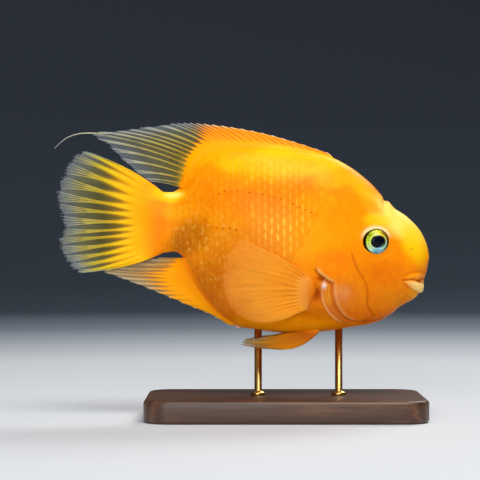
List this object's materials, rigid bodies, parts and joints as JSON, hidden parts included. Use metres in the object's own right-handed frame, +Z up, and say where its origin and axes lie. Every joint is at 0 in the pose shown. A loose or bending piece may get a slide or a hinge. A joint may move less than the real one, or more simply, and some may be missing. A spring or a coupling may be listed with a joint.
{
  "type": "blood parrot cichlid display model",
  "caption": "Still, life-size blood parrot cichlid with spread fins and raised fin rays, held over a flat wooden base by short brass rods.",
  "frame": {"origin": "centre of the underside of the stand's base", "axes": "+X towards the fish's snout, +Z up, and the fish's right side faces -Y"},
  "size_m": [0.203, 0.084, 0.1589],
  "materials": {
    "skin": "wet satin scaled skin, yellow on the back and orange on the flank",
    "fin": "thin satin fin membrane, orange at the root and pale at the edge",
    "eye": "glossy, yellow-green and pale blue iris round a black pupil",
    "stand_wood": "satin walnut",
    "stand_brass": "brushed"
  },
  "bodies": {
    "root": {"head": "skin", "torso": "skin", "tail_stalk": "skin", "gill_cover_right": "skin", "gill_cover_left": "skin", "dorsal_fin": "fin", "caudal_fin": "fin", "anal_fin": "fin", "pectoral_fin_right": "fin", "pectoral_fin_left": "fin", "pelvic_fin_right": "fin", "pelvic_fin_left": "fin", "eye_right": "eye", "eye_left": "eye", "stand_base": "stand_wood", "stand_rod_front": "stand_brass", "stand_rod_rear": "stand_brass"}
  },
  "joints": []
}
